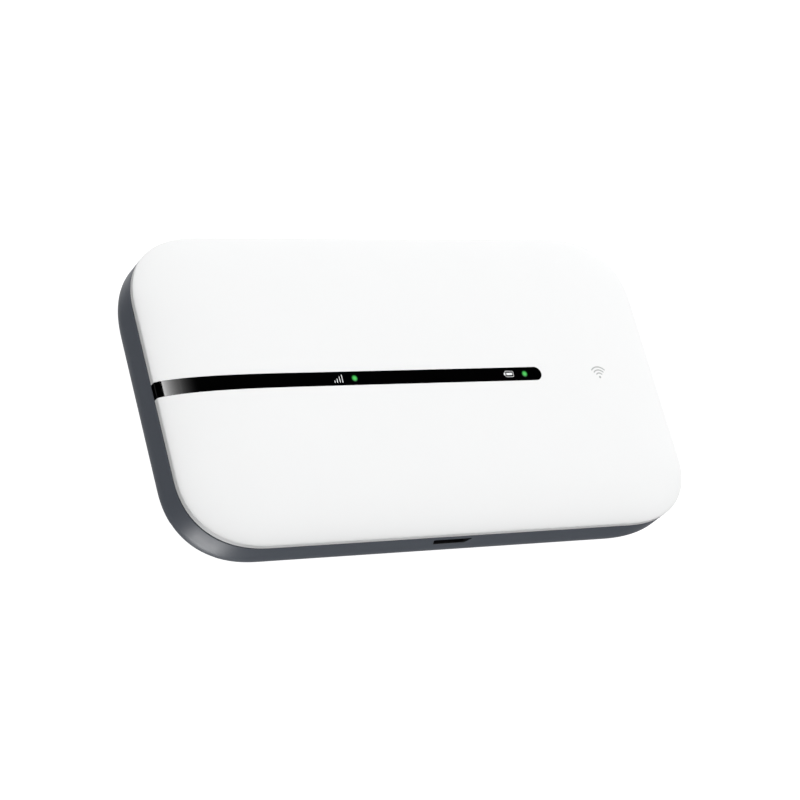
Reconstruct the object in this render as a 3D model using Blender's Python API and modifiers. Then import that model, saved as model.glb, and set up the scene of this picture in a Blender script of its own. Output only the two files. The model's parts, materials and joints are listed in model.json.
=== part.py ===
"""Mobile hotspot lying on its back: front face up, length along X, charging port on the -Y side.

The origin is under the middle of the flat back.  The grey back cover lies on the table, the
main unit lifts out of it along +Z, and the battery drops out of the bay under the main unit.
"""
from math import copysign, cos, pi, sin

import bmesh
import bpy
from mathutils import Matrix, Vector

MM = 0.001

# Whole body
LENGTH = 100.0 * MM
WIDTH = 56.2 * MM
THICKNESS = 13.4 * MM
CORNER_REACH_X = 14.8 * MM
CORNER_REACH_Y = 13.0 * MM
CORNER_POWER = 2.35
CORNER_STEPS = 12
FIT_GAP = 0.3 * MM
SNUG_GAP = 0.15 * MM

# Back cover: a tub with a vertical wall and an elliptical sweep down to the flat back
BACK_WALL = 1.1 * MM
BACK_SWEEP_IN = 3.4 * MM
BACK_SWEEP_UP = 5.7 * MM
BACK_SWEEP_STEPS = 7
BACK_CORNER_GROWTH = 2.0 * MM
BACK_CORNER_POWER = 2.2
BACK_RIM_Z = 9.5 * MM
HOOK_WIDTH = 3.0 * MM
HOOK_TIP_INSET = 2.1 * MM
HOOK_Z = (8.6 * MM, 9.4 * MM)
HOOK_X = 26.0 * MM
HOOK_Y = 11.0 * MM

# Front cover: an upright side band under a low crown
COVER_BOTTOM_Z = 9.7 * MM
BAND_TOP_Z = 10.7 * MM
CROWN = THICKNESS - BAND_TOP_Z
CROWN_FLATNESS = 3.3
CROWN_SHOULDER = 0.7
CROWN_CORNER_LOSS = 0.3
CROWN_STEPS = 12
CROWN_END = 0.93
COVER_WALL = 1.5 * MM
CAVITY_CROWN = 1.0 * MM
BOSS_TOP_Z = 11.6 * MM
BOSS_RADIUS = 1.4 * MM

# Black strip let into the crown, from the -X edge to a round end
STRIP_WIDTH = 2.5 * MM
STRIP_END_X = 23.8 * MM
STRIP_FLARE = 0.12 * MM
STRIP_FLARE_X = -10.0 * MM
STRIP_FLARE_STEPS = 5
STRIP_DEPTH = 0.6 * MM
SIGNAL_LIGHT_X = -13.76 * MM
BATTERY_LIGHT_X = 20.56 * MM
GUIDE_RADIUS = 0.7 * MM

# Chassis: a skirt around one floor, with the battery bay's walls under it
CHASSIS_INSET = 1.8 * MM
CHASSIS_WALL = 1.0 * MM
CHASSIS_BOTTOM_Z = 4.2 * MM
CHASSIS_TOP_Z = 10.4 * MM
FLOOR_Z = (6.0 * MM, 6.7 * MM)
BAY_WALL = 0.8 * MM
BAY_CLEARANCE = 0.4 * MM
BAY_BOTTOM_Z = 2.2 * MM

# Circuit board
BOARD_INSET = 3.2 * MM
BOARD_Z = (7.0 * MM, 7.8 * MM)
CAN_Z = (8.0 * MM, 9.5 * MM)
CAN_WALL = 0.25 * MM
CHIP_BOTTOM_Z = 8.0 * MM

# Battery pack, 66 x 44 x 4.3
BATTERY_LENGTH = 66.0 * MM
BATTERY_WIDTH = 44.0 * MM
BATTERY_Z = (1.4 * MM, 5.7 * MM)
BATTERY_CENTRE = (-5.0 * MM, 1.5 * MM)
BATTERY_CAP_LENGTH = 4.0 * MM
LABEL_THICKNESS = 0.12 * MM

# Charging port in the -Y wall
PORT_Z = (6.6 * MM, 8.5 * MM)
PORT_WIDTH_TOP = 7.8 * MM
PORT_WIDTH_BOTTOM = 6.2 * MM
RECEPTACLE_Y = (-26.6 * MM, -21.6 * MM)
RECEPTACLE_MOUTH = 6.9 * MM
RECEPTACLE_WALL = 0.28 * MM

# Power button in the +X wall
BUTTON_LENGTH = 9.0 * MM
BUTTON_Z = (6.9 * MM, 9.5 * MM)
BUTTON_FACE_X = 49.95 * MM
BUTTON_TRAVEL = 0.3 * MM
NOTCH_SIDE_GAP = 0.25 * MM

# Reset button under the board
RESET_PLACE = (38.0 * MM, 9.0 * MM)
RESET_RADIUS = 0.9 * MM
RESET_Z = (4.5 * MM, 5.3 * MM)
RESET_TRAVEL = 0.2 * MM

# SIM socket under the board
SIM_X = (31.0 * MM, 44.6 * MM)
SIM_Y = (-17.0 * MM, -4.0 * MM)
SIM_SHELL_Z = (4.9 * MM, 6.75 * MM)
SIM_SHEET = 0.25 * MM

# Screws that hold the chassis, board and front cover together
SCREW_PLACES = (
    (-43.5 * MM, 12.0 * MM),
    (-43.5 * MM, -12.0 * MM),
    (33.5 * MM, 21.5 * MM),
    (33.5 * MM, -21.5 * MM),
    (-20.0 * MM, -23.6 * MM),
    (18.0 * MM, -23.6 * MM),
)
SCREW_HEAD_RADIUS = 1.3 * MM
SCREW_SHANK_RADIUS = 0.7 * MM
SCREW_HOLE_RADIUS = 1.0 * MM
SCREW_HEAD_Z = (5.1 * MM, 5.8 * MM)
SCREW_TIP_Z = 10.2 * MM


# ---------------------------------------------------------------- scene and materials

def clear_scene():
    for thing in list(bpy.data.objects):
        bpy.data.objects.remove(thing, do_unlink=True)
    for group in list(bpy.data.collections):
        bpy.data.collections.remove(group)


def new_collection(name):
    group = bpy.data.collections.new(name)
    bpy.context.scene.collection.children.link(group)
    return group


def finish_with(piece, colour, roughness, metallic=0.0):
    """Gives a piece its own Principled material."""
    material = bpy.data.materials.new(piece.name)
    material.use_nodes = True
    shader = material.node_tree.nodes["Principled BSDF"]
    shader.inputs["Base Color"].default_value = (*colour, 1.0)
    shader.inputs["Roughness"].default_value = roughness
    shader.inputs["Metallic"].default_value = metallic
    piece.data.materials.clear()
    piece.data.materials.append(material)
    return piece


WHITE_PLASTIC = ((0.83, 0.84, 0.84), 0.42)
GREY_PLASTIC = ((0.065, 0.073, 0.085), 0.45)
GLOSS_BLACK = ((0.004, 0.004, 0.005), 0.06)
DARK_PLASTIC = ((0.025, 0.026, 0.028), 0.55)
CLEAR_PLASTIC = ((0.75, 0.85, 0.78), 0.3)
LED_WHITE = ((0.8, 0.8, 0.62), 0.35)
BOARD_GREEN = ((0.02, 0.12, 0.05), 0.4)
CHIP_BLACK = ((0.02, 0.02, 0.022), 0.5)
TIN_PLATE = ((0.62, 0.62, 0.6), 0.32, 1.0)
STEEL = ((0.55, 0.55, 0.56), 0.3, 1.0)
GOLD_PLATE = ((0.85, 0.62, 0.27), 0.28, 1.0)
COPPER_FOIL = ((0.66, 0.36, 0.2), 0.35, 1.0)
LABEL_WHITE = ((0.7, 0.71, 0.72), 0.5)
BATTERY_GREY = ((0.12, 0.125, 0.135), 0.45)
PAD_BLUE = ((0.35, 0.45, 0.55), 0.8)
PORT_BLACK = ((0.012, 0.012, 0.013), 0.5)


# ---------------------------------------------------------------- modelling helpers

def add_object(name, mesh, group):
    piece = bpy.data.objects.new(name, mesh)
    group.objects.link(piece)
    return piece


def mesh_from(bm, name):
    bmesh.ops.recalc_face_normals(bm, faces=bm.faces[:])
    mesh = bpy.data.meshes.new(name)
    bm.to_mesh(mesh)
    bm.free()
    return mesh


def box(name, low, high, group, bevel=0.0, segments=1):
    """A box between two corners, with its edges rounded if a bevel width is given."""
    bm = bmesh.new()
    bmesh.ops.create_cube(bm, size=1.0)
    size = [b - a for a, b in zip(low, high)]
    middle = [(a + b) / 2 for a, b in zip(low, high)]
    bmesh.ops.scale(bm, vec=size, verts=bm.verts)
    bmesh.ops.translate(bm, vec=middle, verts=bm.verts)
    piece = add_object(name, mesh_from(bm, name), group)
    if bevel:
        edges = piece.modifiers.new("rounded_edges", "BEVEL")
        edges.width = bevel
        edges.segments = segments
        edges.limit_method = "NONE"
    return piece


def centred_box(name, centre, size, group, bevel=0.0):
    """A box from its middle and its three sizes."""
    low = [c - s / 2 for c, s in zip(centre, size)]
    high = [c + s / 2 for c, s in zip(centre, size)]
    return box(name, low, high, group, bevel)


def prism(name, points, sweep, group):
    """A flat outline of 3-D points swept along a vector."""
    bm = bmesh.new()
    face = bm.faces.new([bm.verts.new(point) for point in points])
    swept = bmesh.ops.extrude_face_region(bm, geom=[face])
    moved = [item for item in swept["geom"] if isinstance(item, bmesh.types.BMVert)]
    bmesh.ops.translate(bm, vec=sweep, verts=moved)
    return add_object(name, mesh_from(bm, name), group)


def loft(name, rings, group):
    """A closed solid through a stack of rings that have the same number of points."""
    bm = bmesh.new()
    loops = [[bm.verts.new(point) for point in ring] for ring in rings]
    count = len(loops[0])
    for lower, upper in zip(loops, loops[1:]):
        for i in range(count):
            j = (i + 1) % count
            bm.faces.new((lower[i], lower[j], upper[j], upper[i]))
    bm.faces.new(loops[0])
    bm.faces.new(loops[-1])
    return add_object(name, mesh_from(bm, name), group)


def cylinder(name, place, radius, low_z, high_z, group, segments=20):
    """An upright cylinder."""
    bm = bmesh.new()
    bmesh.ops.create_cone(
        bm, cap_ends=True, segments=segments, radius1=radius, radius2=radius, depth=high_z - low_z,
        matrix=Matrix.Translation((place[0], place[1], (low_z + high_z) / 2)))
    return add_object(name, mesh_from(bm, name), group)


def turned(name, profile, group, steps=24):
    """A turned shape about Z; the profile of (radius, z) runs from its top down its outer side."""
    mesh = bpy.data.meshes.new(name)
    points = [(radius, 0.0, z) for radius, z in profile]
    mesh.from_pydata(points, [(i, i + 1) for i in range(len(points) - 1)], [])
    piece = add_object(name, mesh, group)
    spin = piece.modifiers.new("turned", "SCREW")
    spin.steps = steps
    spin.render_steps = steps
    spin.use_merge_vertices = True
    spin.merge_threshold = 0.00001
    return piece


def ribbon(name, path, sweep, thickness, group):
    """A thin bent sheet: a path swept along a vector and given a thickness."""
    bm = bmesh.new()
    points = [bm.verts.new(point) for point in path]
    edges = [bm.edges.new(pair) for pair in zip(points, points[1:])]
    swept = bmesh.ops.extrude_edge_only(bm, edges=edges)
    moved = [item for item in swept["geom"] if isinstance(item, bmesh.types.BMVert)]
    bmesh.ops.translate(bm, vec=sweep, verts=moved)
    piece = add_object(name, mesh_from(bm, name), group)
    sheet = piece.modifiers.new("sheet", "SOLIDIFY")
    sheet.thickness = thickness
    sheet.offset = 0.0
    sheet.use_even_offset = True
    return piece


def combine(piece, other, operation):
    """Cuts, joins or intersects a piece with a hidden helper solid."""
    step = piece.modifiers.new(other.name, "BOOLEAN")
    step.operation = operation
    step.solver = "EXACT"
    step.object = other
    other.hide_render = True
    other.display_type = "WIRE"
    return piece


def cut(piece, other):
    return combine(piece, other, "DIFFERENCE")


def join(piece, other):
    return combine(piece, other, "UNION")


def smooth(piece):
    piece.data.shade_smooth()
    piece.data.set_sharp_from_angle(angle=pi / 6)
    return piece


# ---------------------------------------------------------------- body outlines

def outline(half_x, half_y, reach_x, reach_y, power):
    """Points of a rectangle with superellipse corners, anticlockwise from the +X side."""
    points = []
    signs = ((1, 1), (-1, 1), (-1, -1), (1, -1))
    for quarter, (sign_x, sign_y) in enumerate(signs):
        for step in range(CORNER_STEPS + 1):
            angle = (quarter + step / CORNER_STEPS) * pi / 2
            bulge_x = copysign(abs(cos(angle)) ** (2 / power), sign_x)
            bulge_y = copysign(abs(sin(angle)) ** (2 / power), sign_y)
            points.append((
                sign_x * (half_x - reach_x) + reach_x * bulge_x,
                sign_y * (half_y - reach_y) + reach_y * bulge_y))
    return points


def ring(inset, z, corner_loss, power=CORNER_POWER):
    """A level ring inside the body's outline, with its corners shortened by corner_loss."""
    half_y = WIDTH / 2 - inset
    reach_y = min(CORNER_REACH_Y - corner_loss, half_y)
    flat = outline(LENGTH / 2 - inset, half_y, CORNER_REACH_X - corner_loss, reach_y, power)
    return [(x, y, z) for x, y in flat]


def wall_ring(inset, z):
    """A ring at an even distance inside the body's outline."""
    return ring(inset, z, inset)


def tub_rings(wall, top_z):
    """Rings of the back cover's outside, or of its inside when a wall thickness is given.

    The sweep's corners get rounder on the way down to the flat back.
    """
    rings = []
    for step in range(BACK_SWEEP_STEPS + 1):
        angle = pi / 2 * (1 - step / BACK_SWEEP_STEPS)
        sweep = 1 - cos(angle)
        inset = wall + (BACK_SWEEP_IN - wall) * sweep
        z = BACK_SWEEP_UP - (BACK_SWEEP_UP - wall) * sin(angle)
        power = CORNER_POWER + (BACK_CORNER_POWER - CORNER_POWER) * sweep
        rings.append(ring(inset, z, wall - BACK_CORNER_GROWTH * sweep, power))
    rings.append(wall_ring(wall, top_z))
    return rings


def crown_rings(side, crown, bottom_z):
    """Rings of the front cover's outside, or of a copy moved in at the side and down on top.

    The corners of the crown shorten more slowly than its rings move in.
    """
    rings = [wall_ring(side, bottom_z)]
    for step in range(CROWN_STEPS + 1):
        share = CROWN_END * (step / CROWN_STEPS) ** 2
        reach_in = share * (WIDTH / 2 - side)
        z = BAND_TOP_Z + crown * (1 - (1 - share) ** CROWN_FLATNESS) ** CROWN_SHOULDER
        rings.append(ring(side + reach_in, z, side + CROWN_CORNER_LOSS * reach_in))
    return rings


def strip_outline(half_width, z):
    """The strip seen from above: flared towards the open -X edge, with a half circle at +X."""
    side = []
    for step in range(STRIP_FLARE_STEPS + 1):
        share = step / STRIP_FLARE_STEPS
        x = STRIP_FLARE_X - share * (STRIP_FLARE_X + LENGTH / 2 + 1 * MM)
        side.append((x, half_width + STRIP_FLARE * share ** 2))
    points = [(x, -half, z) for x, half in reversed(side)]
    centre_x = STRIP_END_X - STRIP_WIDTH / 2
    steps = 12
    for step in range(steps + 1):
        angle = -pi / 2 + pi * step / steps
        points.append((centre_x + half_width * cos(angle), half_width * sin(angle), z))
    return points + [(x, half, z) for x, half in side]


def port_outline(top, bottom, z_range, y, rounding):
    """A plug-shaped outline across Y: wide on top, narrow below, with rounded corners."""
    corners = (
        (-bottom / 2, z_range[0]), (bottom / 2, z_range[0]),
        (top / 2, z_range[1]), (-top / 2, z_range[1]))
    points = []
    for i, corner in enumerate(corners):
        here = Vector(corner)
        before = here + (Vector(corners[i - 1]) - here).normalized() * rounding
        after = here + (Vector(corners[(i + 1) % 4]) - here).normalized() * rounding
        for step in range(4):
            t = step / 3
            bend = before * (1 - t) ** 2 + here * 2 * t * (1 - t) + after * t ** 2
            points.append((bend.x, y, bend.y))
    return points


# ---------------------------------------------------------------- back cover

def hook_places():
    """Middle of each snap hook and the direction from the wall inwards."""
    places = []
    for side in (-1, 1):
        for along in (-1, 1):
            places.append(((along * HOOK_X, side * WIDTH / 2), (0, -side)))
            places.append(((side * LENGTH / 2, along * HOOK_Y), (-side, 0)))
    return places


def box_from_wall(name, place, inward, width, insets, z_range, group):
    """A box that reaches from one inset to another, facing straight in from the wall."""
    along = (abs(inward[1]), abs(inward[0]))
    ends = []
    for inset, side in zip(insets, (-1, 1)):
        ends.append([
            place[i] + inward[i] * inset + side * along[i] * width / 2 for i in range(2)])
    low = [min(ends[0][i], ends[1][i]) for i in range(2)] + [z_range[0]]
    high = [max(ends[0][i], ends[1][i]) for i in range(2)] + [z_range[1]]
    return box(name, low, high, group)


def make_back_cover(parts, cutters):
    cover = loft("back_cover", tub_rings(0.0, BACK_RIM_Z), parts)
    cut(cover, loft("back_cover_inside", tub_rings(BACK_WALL, BACK_RIM_Z + 1 * MM), cutters))
    for number, (place, inward) in enumerate(hook_places(), 1):
        insets = (BACK_WALL / 2, HOOK_TIP_INSET)
        hook = box_from_wall(f"hook_{number}", place, inward, HOOK_WIDTH, insets, HOOK_Z, cutters)
        join(cover, hook)
    mouth = port_outline(PORT_WIDTH_TOP, PORT_WIDTH_BOTTOM, PORT_Z, -WIDTH / 2 - 1 * MM, 0.45 * MM)
    cut(cover, prism("port_mouth", mouth, (0, 1 * MM + 2 * BACK_WALL, 0), cutters))
    half_notch = BUTTON_LENGTH / 2 + NOTCH_SIDE_GAP
    low = (LENGTH / 2 - 1.5 * BACK_WALL, -half_notch, BUTTON_Z[0] - NOTCH_SIDE_GAP)
    high = (LENGTH / 2 + 1 * MM, half_notch, BACK_RIM_Z + 1 * MM)
    cut(cover, box("button_notch", low, high, cutters))
    return smooth(finish_with(cover, *GREY_PLASTIC))


# ---------------------------------------------------------------- front cover and its strip

def make_front_cover(parts, cutters):
    cover = loft("front_cover", crown_rings(0.0, CROWN, COVER_BOTTOM_Z), parts)
    cavity = crown_rings(COVER_WALL, CAVITY_CROWN, COVER_BOTTOM_Z - 1 * MM)
    cut(cover, loft("front_cover_inside", cavity, cutters))
    groove = prism(
        "strip_groove", strip_outline(STRIP_WIDTH / 2 + SNUG_GAP, COVER_BOTTOM_Z - 2 * MM),
        (0, 0, THICKNESS), cutters)
    bed_depth = STRIP_DEPTH + SNUG_GAP
    bed = crown_rings(bed_depth, CROWN - bed_depth, COVER_BOTTOM_Z - 3 * MM)
    cut(groove, loft("strip_bed", bed, cutters))
    cut(cover, groove)
    boss_bottom = BOARD_Z[1] + FIT_GAP
    for number, place in enumerate(SCREW_PLACES, 1):
        join(cover, cylinder(f"boss_{number}", place, BOSS_RADIUS, boss_bottom, BOSS_TOP_Z, cutters))
        pilot_top = SCREW_TIP_Z + FIT_GAP
        pilot = cylinder(
            f"pilot_{number}", place, SCREW_HOLE_RADIUS, boss_bottom - 1 * MM, pilot_top, cutters)
        cut(cover, pilot)
    for name, x in (("signal", SIGNAL_LIGHT_X), ("battery", BATTERY_LIGHT_X)):
        hole = cylinder(
            f"{name}_light_hole", (x, 0.0), GUIDE_RADIUS + FIT_GAP, COVER_BOTTOM_Z, THICKNESS, cutters)
        cut(cover, hole)
    return smooth(finish_with(cover, *WHITE_PLASTIC))


def make_indicator_strip(parts, cutters):
    strip = loft("indicator_strip", crown_rings(0.0, CROWN, COVER_BOTTOM_Z), parts)
    blank = prism(
        "strip_blank", strip_outline(STRIP_WIDTH / 2, COVER_BOTTOM_Z - 2 * MM),
        (0, 0, THICKNESS), cutters)
    combine(strip, blank, "INTERSECT")
    under = crown_rings(STRIP_DEPTH, CROWN - STRIP_DEPTH, COVER_BOTTOM_Z - 1 * MM)
    cut(strip, loft("under_strip", under, cutters))
    return smooth(finish_with(strip, *GLOSS_BLACK))


def make_light(parts, name, x):
    """A small lamp on the board and the clear guide that carries its light to the strip."""
    lamp = centred_box(
        f"{name}_led", (x, 0.0, CHIP_BOTTOM_Z + 0.3 * MM), (1.6 * MM, 0.8 * MM, 0.6 * MM), parts,
        bevel=0.08 * MM)
    finish_with(lamp, *LED_WHITE)
    top = THICKNESS - STRIP_DEPTH - 2 * SNUG_GAP
    flange = 1.25 * MM
    profile = (
        (0.0, top), (GUIDE_RADIUS, top), (GUIDE_RADIUS, 11.3 * MM), (flange, 11.3 * MM),
        (flange, 10.9 * MM), (GUIDE_RADIUS, 10.9 * MM), (GUIDE_RADIUS, 8.9 * MM), (0.0, 8.9 * MM))
    guide = turned(f"{name}_light_guide", profile, parts, steps=20)
    guide.location = (x, 0.0, 0.0)
    smooth(finish_with(guide, *CLEAR_PLASTIC))
    return [lamp, guide]


# ---------------------------------------------------------------- chassis and board

def battery_box(grow):
    """X and Y limits of the battery, grown on every side."""
    x = BATTERY_CENTRE[0]
    y = BATTERY_CENTRE[1]
    half_x = BATTERY_LENGTH / 2 + grow
    half_y = BATTERY_WIDTH / 2 + grow
    return (x - half_x, y - half_y), (x + half_x, y + half_y)


def cut_window(piece, name, low, high, cutters):
    return cut(piece, box(name, low, high, cutters))


def make_chassis(parts, cutters):
    outer = [wall_ring(CHASSIS_INSET, z) for z in (CHASSIS_BOTTOM_Z, CHASSIS_TOP_Z)]
    chassis = loft("chassis", outer, parts)
    inner = CHASSIS_INSET + CHASSIS_WALL
    upper = [wall_ring(inner, z) for z in (FLOOR_Z[1], CHASSIS_TOP_Z + 1 * MM)]
    lower = [wall_ring(inner, z) for z in (CHASSIS_BOTTOM_Z - 1 * MM, FLOOR_Z[0])]
    cut(chassis, loft("chassis_upper_room", upper, cutters))
    cut(chassis, loft("chassis_lower_room", lower, cutters))
    low, high = battery_box(BAY_CLEARANCE + BAY_WALL)
    bay = box("bay_block", (*low, BAY_BOTTOM_Z), (*high, FLOOR_Z[0] + 0.4 * MM), cutters)
    join(chassis, bay)
    low, high = battery_box(BAY_CLEARANCE)
    cut_window(chassis, "bay_room", (*low, BAY_BOTTOM_Z - 1 * MM), (*high, FLOOR_Z[0]), cutters)
    add_chassis_windows(chassis, cutters)
    for number, place in enumerate(SCREW_PLACES, 1):
        hole = cylinder(
            f"chassis_hole_{number}", place, SCREW_HOLE_RADIUS, FLOOR_Z[0] - 1 * MM,
            FLOOR_Z[1] + 0.2 * MM, cutters, segments=16)
        cut(chassis, hole)
    for number, (place, inward) in enumerate(hook_places(), 1):
        insets = (CHASSIS_INSET - 1 * MM, HOOK_TIP_INSET + FIT_GAP)
        z_range = (CHASSIS_BOTTOM_Z - 1 * MM, HOOK_Z[1] + FIT_GAP)
        width = HOOK_WIDTH + 2 * FIT_GAP
        channel = box_from_wall(f"hook_channel_{number}", place, inward, width, insets, z_range, cutters)
        cut(chassis, channel)
    return finish_with(chassis, *DARK_PLASTIC)


def add_chassis_windows(chassis, cutters):
    """Openings for the port, the power button, the SIM socket, reset and battery contacts."""
    above = CHASSIS_TOP_Z + 1 * MM
    below = FLOOR_Z[0] - 0.5 * MM
    over_floor = FLOOR_Z[1] + 0.5 * MM
    half_port = RECEPTACLE_MOUTH / 2 + 1 * MM
    cut_window(
        chassis, "port_window", (-half_port, -WIDTH / 2, 5.8 * MM),
        (half_port, RECEPTACLE_Y[1] + FIT_GAP, above), cutters)
    half_button = BUTTON_LENGTH / 2 + 1.3 * MM
    cut_window(
        chassis, "button_window", (46.9 * MM, -half_button, 6.1 * MM),
        (LENGTH / 2, half_button, above), cutters)
    cut_window(
        chassis, "sim_window", (SIM_X[0] - 0.8 * MM, SIM_Y[0] - 0.6 * MM, below),
        (SIM_X[1] + 0.8 * MM, SIM_Y[1] + 0.6 * MM, over_floor), cutters)
    x, y = RESET_PLACE
    reach = 2.2 * MM
    cut_window(chassis, "reset_window", (x - reach, y - reach, below), (x + reach, y + reach, over_floor), cutters)
    cut_window(
        chassis, "contact_window", (-42.9 * MM, -4.9 * MM, BAY_BOTTOM_Z + 0.6 * MM),
        (-38.1 * MM, 7.9 * MM, over_floor), cutters)


def make_main_board(parts, cutters):
    board = loft("main_board", [wall_ring(BOARD_INSET, z) for z in BOARD_Z], parts)
    half_port = RECEPTACLE_MOUTH / 2 + 0.6 * MM
    cut_window(
        board, "board_port_notch", (-half_port, -WIDTH / 2, BOARD_Z[0] - 1 * MM),
        (half_port, RECEPTACLE_Y[1] + FIT_GAP, BOARD_Z[1] + 1 * MM), cutters)
    for number, place in enumerate(SCREW_PLACES, 1):
        hole = cylinder(
            f"board_hole_{number}", place, SCREW_HOLE_RADIUS, BOARD_Z[0] - 1 * MM,
            BOARD_Z[1] + 1 * MM, cutters, segments=16)
        cut(board, hole)
    return finish_with(board, *BOARD_GREEN)


def make_shield_can(parts, cutters, name, centre, size):
    """A thin metal lid, open underneath, over a group of chips."""
    x, y = centre
    lid = box(
        name, (x - size[0] / 2, y - size[1] / 2, CAN_Z[0]), (x + size[0] / 2, y + size[1] / 2, CAN_Z[1]),
        parts)
    half_x = size[0] / 2 - CAN_WALL
    half_y = size[1] / 2 - CAN_WALL
    cut_window(
        lid, f"{name}_inside", (x - half_x, y - half_y, CAN_Z[0] - 1 * MM),
        (x + half_x, y + half_y, CAN_Z[1] - CAN_WALL), cutters)
    return finish_with(lid, *TIN_PLATE)


def make_chip(parts, name, centre, size):
    x, y = centre
    place = (x, y, CHIP_BOTTOM_Z + size[2] / 2)
    return finish_with(centred_box(name, place, size, parts, bevel=0.06 * MM), *CHIP_BLACK)


def make_electronics(parts, cutters):
    cans = (
        ("baseband_shield", (-22.0 * MM, 13.2 * MM), (30.0 * MM, 16.0 * MM)),
        ("rf_shield", (14.0 * MM, 13.2 * MM), (30.0 * MM, 16.0 * MM)),
        ("wifi_shield", (-22.0 * MM, -12.0 * MM), (26.0 * MM, 14.0 * MM)),
        ("power_shield", (17.0 * MM, -12.0 * MM), (18.0 * MM, 14.0 * MM)),
    )
    chips = (
        ("baseband_processor", (-28.0 * MM, 13.2 * MM), (11.0 * MM, 11.0 * MM, 0.9 * MM)),
        ("memory_chip", (-14.5 * MM, 13.2 * MM), (8.0 * MM, 9.0 * MM, 0.8 * MM)),
        ("rf_transceiver", (7.0 * MM, 13.2 * MM), (6.0 * MM, 6.0 * MM, 0.8 * MM)),
        ("power_amplifier", (20.0 * MM, 13.2 * MM), (6.0 * MM, 4.0 * MM, 0.8 * MM)),
        ("wifi_chip", (-24.0 * MM, -12.0 * MM), (7.0 * MM, 7.0 * MM, 0.8 * MM)),
        ("power_manager", (14.0 * MM, -12.0 * MM), (6.0 * MM, 6.0 * MM, 0.8 * MM)),
    )
    made = [make_shield_can(parts, cutters, *can) for can in cans]
    made += [make_chip(parts, *chip) for chip in chips]
    choke = centred_box(
        "charging_inductor", (31.5 * MM, -12.0 * MM, CHIP_BOTTOM_Z + 0.75 * MM),
        (4.0 * MM, 4.0 * MM, 1.5 * MM), parts, bevel=0.3 * MM)
    crystal = centred_box(
        "crystal", (-2.8 * MM, 13.2 * MM, CHIP_BOTTOM_Z + 0.35 * MM),
        (2.5 * MM, 2.0 * MM, 0.7 * MM), parts, bevel=0.1 * MM)
    pad = centred_box(
        "thermal_pad", (-26.0 * MM, 13.2 * MM, 10.2 * MM), (14.0 * MM, 10.0 * MM, 1.0 * MM), parts,
        bevel=0.15 * MM)
    made.append(finish_with(choke, *CHIP_BLACK))
    made.append(finish_with(crystal, *TIN_PLATE))
    made.append(finish_with(pad, *PAD_BLUE))
    return made


# ---------------------------------------------------------------- port, buttons, sockets

def make_charging_port(parts, cutters):
    wall = RECEPTACLE_WALL
    front, back = RECEPTACLE_Y
    middle_z = (PORT_Z[0] + PORT_Z[1]) / 2
    mouth_z = (middle_z - 0.93 * MM, middle_z + 0.93 * MM)
    shell_z = (mouth_z[0] - wall, mouth_z[1] + wall)
    narrow = RECEPTACLE_MOUTH - 1.5 * MM
    outside = port_outline(RECEPTACLE_MOUTH + 2 * wall, narrow + 2 * wall, shell_z, front, 0.5 * MM)
    shell = prism("charging_port_shell", outside, (0, back - front, 0), parts)
    mouth = port_outline(RECEPTACLE_MOUTH, narrow, mouth_z, front - 1 * MM, 0.35 * MM)
    cut(shell, prism("charging_port_mouth", mouth, (0, back - front + 1 * MM - wall, 0), cutters))
    tongue = box(
        "charging_port_tongue", (-1.85 * MM, front + 0.8 * MM, mouth_z[1] - 0.9 * MM),
        (1.85 * MM, back - 2 * wall, mouth_z[1] - 0.3 * MM), parts, bevel=0.08 * MM)
    return [finish_with(shell, *STEEL), finish_with(tongue, *PORT_BLACK)]


def make_power_switch(parts):
    switch = box(
        "power_switch", (43.4 * MM, -1.8 * MM, BOARD_Z[1] + 0.2 * MM), (46.1 * MM, 1.8 * MM, 9.5 * MM),
        parts, bevel=0.1 * MM)
    return finish_with(switch, *STEEL)


def make_power_button(parts, cutters):
    """The key's cap fills the wall's notch; a flange behind the wall keeps it in."""
    middle_z = (BUTTON_Z[0] + BUTTON_Z[1]) / 2
    half = BUTTON_LENGTH / 2
    height = BUTTON_Z[1] - BUTTON_Z[0]
    cap = box(
        "power_button", (-2.0 * MM, -half, -height / 2), (0.0, half, height / 2), parts,
        bevel=0.3 * MM, segments=2)
    cap.location = (BUTTON_FACE_X, 0.0, middle_z)
    flange = box(
        "button_flange", (-2.3 * MM, -half - 0.7 * MM, -1.6 * MM), (-1.6 * MM, half + 0.7 * MM, 1.4 * MM),
        cutters)
    stem = box("button_stem", (-3.5 * MM, -1.2 * MM, -0.1 * MM), (-1.9 * MM, 1.2 * MM, 1.1 * MM), cutters)
    for helper in (flange, stem):
        helper.location = cap.location
        join(cap, helper)
    return finish_with(cap, *GREY_PLASTIC)


def make_reset_switch(parts):
    x, y = RESET_PLACE
    body = centred_box(
        "reset_switch", (x, y, 6.15 * MM), (3.5 * MM, 3.5 * MM, 1.1 * MM), parts, bevel=0.12 * MM)
    return finish_with(body, *STEEL)


def make_reset_button(parts):
    height = RESET_Z[1] - RESET_Z[0]
    edge = 0.15 * MM
    profile = (
        (0.0, height), (RESET_RADIUS, height), (RESET_RADIUS, edge), (RESET_RADIUS - edge, 0.0),
        (0.0, 0.0))
    button = turned("reset_button", profile, parts, steps=20)
    button.location = (*RESET_PLACE, RESET_Z[0])
    return smooth(finish_with(button, *PORT_BLACK))


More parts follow.
